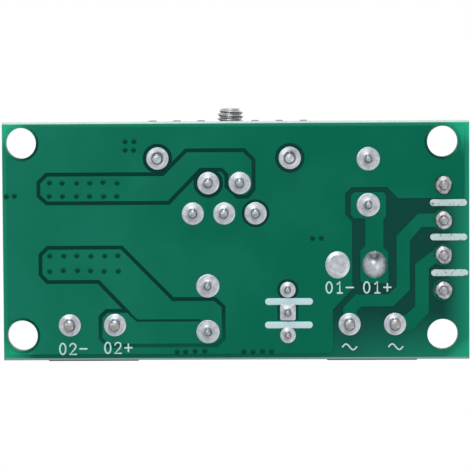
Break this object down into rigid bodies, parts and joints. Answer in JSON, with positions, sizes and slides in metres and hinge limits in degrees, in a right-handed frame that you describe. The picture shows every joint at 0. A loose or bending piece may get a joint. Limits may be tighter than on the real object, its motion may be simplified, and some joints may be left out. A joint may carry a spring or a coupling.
{
  "type": "buck converter module",
  "caption": "Step-down power module: rectifier, regulator on a finned heatsink, capacitors, inductor, trimmer and screw terminals on a drilled green board.",
  "frame": {"origin": "centre of the four mounting holes, on the solder face of the board", "axes": "+Z through the board from the solder face to the components, +X along the board from the AC terminal to the output terminal, +Y from the terminals to the heatsink"},
  "size_m": [0.0516, 0.028, 0.0255],
  "materials": {
    "base_plastic": "moulded",
    "black_anodised": "black anodised extrusion",
    "board_laminate": "glass-fibre laminate under green solder mask",
    "brass": "turned",
    "bung_rubber": "moulded",
    "chip_black": "glazed",
    "chip_tan": "sintered",
    "copper_wire": "enamelled copper wire",
    "ferrite": "sintered ferrite",
    "light_resin": "cast resin",
    "light_white": "moulded",
    "moulding_compound": "moulded epoxy",
    "plated_brass": "nickel plated",
    "screw_steel": "dark plated steel",
    "sleeve_film": "shrunk film",
    "solder": "reflowed tin solder",
    "terminal_housing": "moulded polyamide",
    "tinned_brass": "tin plated",
    "tinned_copper": "tin plated copper",
    "tinned_lead": "tin plated",
    "trimmer_plastic": "moulded blue polyester",
    "white_ink": "screen-printed",
    "zinc_steel": "bright zinc plated"
  },
  "bodies": {
    "module": {"ac_terminal_contacts": "tinned_brass", "ac_terminal_housing": "terminal_housing", "board": "board_laminate", "bridge_body": "moulding_compound", "bridge_leads": "tinned_lead", "chip_capacitor_caps": "tinned_lead", "chip_capacitors": "chip_tan", "chip_resistor_caps": "tinned_lead", "chip_resistors": "chip_black", "diode_body": "moulding_compound", "diode_leads": "tinned_lead", "heatsink": "black_anodised", "heatsink_flat_washer": "screw_steel", "heatsink_pins": "tinned_lead", "heatsink_screw": "screw_steel", "heatsink_spring_washer": "screw_steel", "inductor_base": "base_plastic", "inductor_core": "ferrite", "inductor_shield": "ferrite", "inductor_terminals": "tinned_lead", "inductor_winding": "copper_wire", "ink_bars": "white_ink", "input_capacitor_bung": "bung_rubber", "input_capacitor_can": "sleeve_film", "input_capacitor_leads": "tinned_lead", "light_base": "light_white", "light_lens": "light_resin", "output_capacitor_bung": "bung_rubber", "output_capacitor_can": "sleeve_film", "output_capacitor_leads": "tinned_lead", "output_terminal_contacts": "tinned_brass", "output_terminal_housing": "terminal_housing", "regulator_body": "moulding_compound", "regulator_leads": "tinned_lead", "regulator_tab": "tinned_copper", "solder_ac_terminal": "solder", "solder_bridge": "solder", "solder_heatsink": "solder", "solder_input_capacitor": "solder", "solder_output_capacitor": "solder", "solder_output_terminal": "solder", "solder_regulator": "solder", "solder_trimmer": "solder", "solder_wire_pads": "solder", "trimmer_case": "trimmer_plastic", "trimmer_pins": "tinned_lead"},
    "ac_clamp_screw_1": {"ac_clamp_screw_1": "zinc_steel"},
    "ac_clamp_cage_1": {"ac_clamp_cage_1": "plated_brass"},
    "ac_clamp_screw_2": {"ac_clamp_screw_2": "zinc_steel"},
    "ac_clamp_cage_2": {"ac_clamp_cage_2": "plated_brass"},
    "output_clamp_screw_1": {"output_clamp_screw_1": "zinc_steel"},
    "output_clamp_cage_1": {"output_clamp_cage_1": "plated_brass"},
    "output_clamp_screw_2": {"output_clamp_screw_2": "zinc_steel"},
    "output_clamp_cage_2": {"output_clamp_cage_2": "plated_brass"},
    "trimmer_screw": {"trimmer_screw": "brass"}
  },
  "joints": [
    {"name": "ac_clamp_screw_1_turn", "type": "hinge", "parent": "module", "child": "ac_clamp_screw_1", "pos_m": [-0.01801, -0.01041, 0.008], "axis": [0, 0, -1], "range_deg": [0, 1600]},
    {"name": "ac_clamp_cage_1_rise", "type": "slide", "parent": "module", "child": "ac_clamp_cage_1", "axis": [0, 0, 1], "range_m": [0, 0.002]},
    {"name": "ac_clamp_screw_2_turn", "type": "hinge", "parent": "module", "child": "ac_clamp_screw_2", "pos_m": [-0.01299, -0.01041, 0.008], "axis": [0, 0, -1], "range_deg": [0, 1600]},
    {"name": "ac_clamp_cage_2_rise", "type": "slide", "parent": "module", "child": "ac_clamp_cage_2", "axis": [0, 0, 1], "range_m": [0, 0.002]},
    {"name": "output_clamp_screw_1_turn", "type": "hinge", "parent": "module", "child": "output_clamp_screw_1", "pos_m": [0.01299, -0.01041, 0.008], "axis": [0, 0, -1], "range_deg": [0, 1600]},
    {"name": "output_clamp_cage_1_rise", "type": "slide", "parent": "module", "child": "output_clamp_cage_1", "axis": [0, 0, 1], "range_m": [0, 0.002]},
    {"name": "output_clamp_screw_2_turn", "type": "hinge", "parent": "module", "child": "output_clamp_screw_2", "pos_m": [0.01801, -0.01041, 0.008], "axis": [0, 0, -1], "range_deg": [0, 1600]},
    {"name": "output_clamp_cage_2_rise", "type": "slide", "parent": "module", "child": "output_clamp_cage_2", "axis": [0, 0, 1], "range_m": [0, 0.002]},
    {"name": "trimmer_screw_turn", "type": "hinge", "parent": "module", "child": "trimmer_screw", "pos_m": [-0.00617, -0.00492, 0.0115], "axis": [0, 0, 1], "continuous": true}
  ],
  "couplings": [
    {"joint": "ac_clamp_screw_1_turn", "follows": "ac_clamp_cage_1_rise", "rad_per_m": 13963},
    {"joint": "ac_clamp_screw_2_turn", "follows": "ac_clamp_cage_2_rise", "rad_per_m": 13963},
    {"joint": "output_clamp_screw_1_turn", "follows": "output_clamp_cage_1_rise", "rad_per_m": 13963},
    {"joint": "output_clamp_screw_2_turn", "follows": "output_clamp_cage_2_rise", "rad_per_m": 13963}
  ]
}
